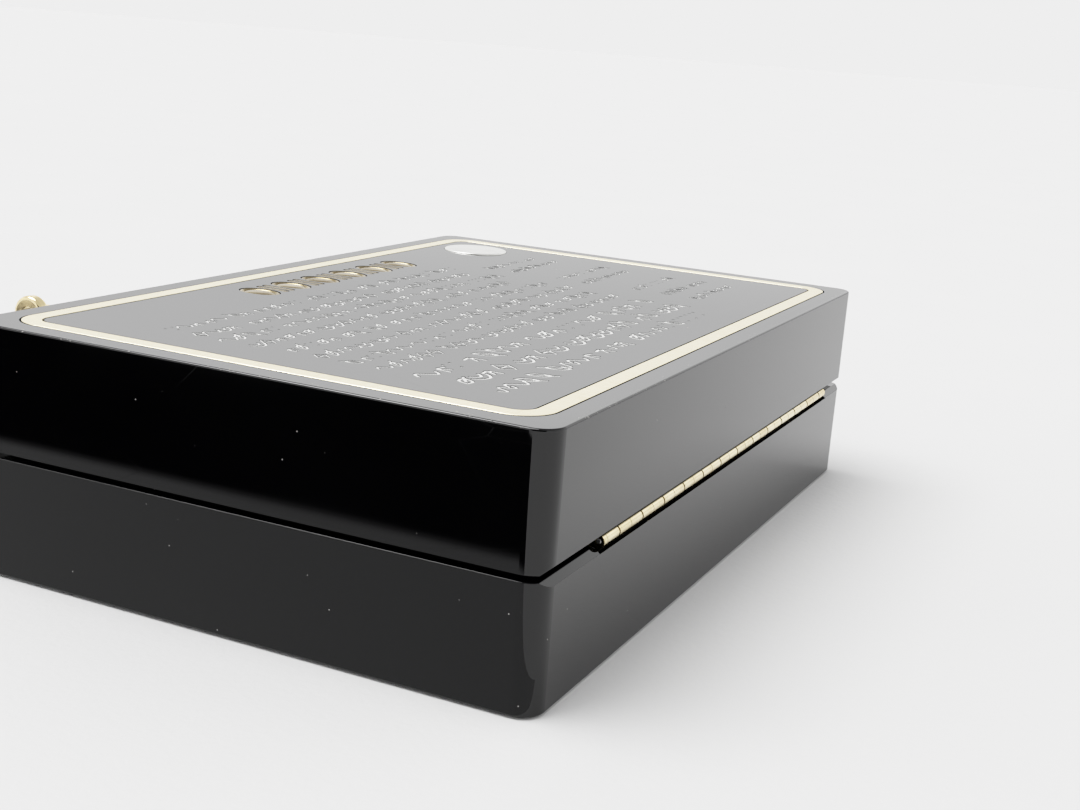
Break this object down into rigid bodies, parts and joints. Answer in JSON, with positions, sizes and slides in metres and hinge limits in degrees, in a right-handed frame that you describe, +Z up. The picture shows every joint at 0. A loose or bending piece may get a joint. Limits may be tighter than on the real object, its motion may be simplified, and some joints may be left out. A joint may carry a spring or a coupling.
{
  "type": "powder compact",
  "caption": "Hinged hard box compact in gloss black with a brass band let into the lid, an inner mirror, a pressed powder pan, a puff and a brush.",
  "frame": {"origin": "centre of the felt underside, on the surface that the case rests on", "axes": "+X along the hinge, +Y towards the hinge side, +Z up through the lid"},
  "size_m": [0.176, 0.1219, 0.0471],
  "materials": {
    "shell_black": "polished, piano black",
    "band_brass": "fine cross-brushed, pale champagne",
    "ornament_gold": "polished",
    "disc_silver": "bright satin",
    "lining_velvet": "short black velvet",
    "mirror_glass": "silvered",
    "bezel_gold": "polished",
    "hinge_brass": "polished, pale gold",
    "pin_steel": "drawn",
    "screw_brass": "polished",
    "magnet_nickel": "nickel plated",
    "bumper_rubber": "matt",
    "felt": "felt",
    "pan_metal": "satin, gold anodised",
    "powder": "matt pressed powder",
    "puff_velour": "velour",
    "ribbon_satin": "satin",
    "brush_lacquer": "polished",
    "ferrule_gold": "polished",
    "bristle": "soft hair"
  },
  "bodies": {
    "base": {"base_shell": "shell_black", "underside_felt": "felt", "rim_liner": "lining_velvet", "insert_tray": "lining_velvet", "powder_pan": "pan_metal", "pressed_powder": "powder", "hinge_leaf_lower": "hinge_brass", "hinge_pin": "pin_steel", "hinge_screws_lower": "screw_brass", "base_magnets": "magnet_nickel", "rim_bumpers": "bumper_rubber"},
    "lid": {"lid_shell": "shell_black", "frame_inlay": "band_brass", "title_ornament": "ornament_gold", "round_inlay": "disc_silver", "lid_panel": "shell_black", "lid_wall_lining": "lining_velvet", "mirror_backing": "lining_velvet", "mirror": "mirror_glass", "mirror_bezel": "bezel_gold", "hinge_leaf_upper": "hinge_brass", "hinge_screws_upper": "screw_brass", "lid_magnets": "magnet_nickel", "strap_eye": "bezel_gold"},
    "puff": {"puff": "puff_velour", "puff_ribbon": "ribbon_satin"},
    "brush": {"brush_handle": "brush_lacquer", "brush_ferrule": "ferrule_gold", "brush_bristles": "bristle"}
  },
  "joints": [
    {"name": "lid_hinge", "type": "hinge", "parent": "base", "child": "lid", "pos_m": [-0.0033, 0.05595, 0.02274], "axis": [-1, 0, 0], "range_deg": [0, 110]},
    {"name": "puff_lift", "type": "slide", "parent": "base", "child": "puff", "axis": [0, 0, 1], "range_m": [0, 0.01]},
    {"name": "brush_lift", "type": "slide", "parent": "base", "child": "brush", "axis": [0, 0, 1], "range_m": [0, 0.01]}
  ]
}
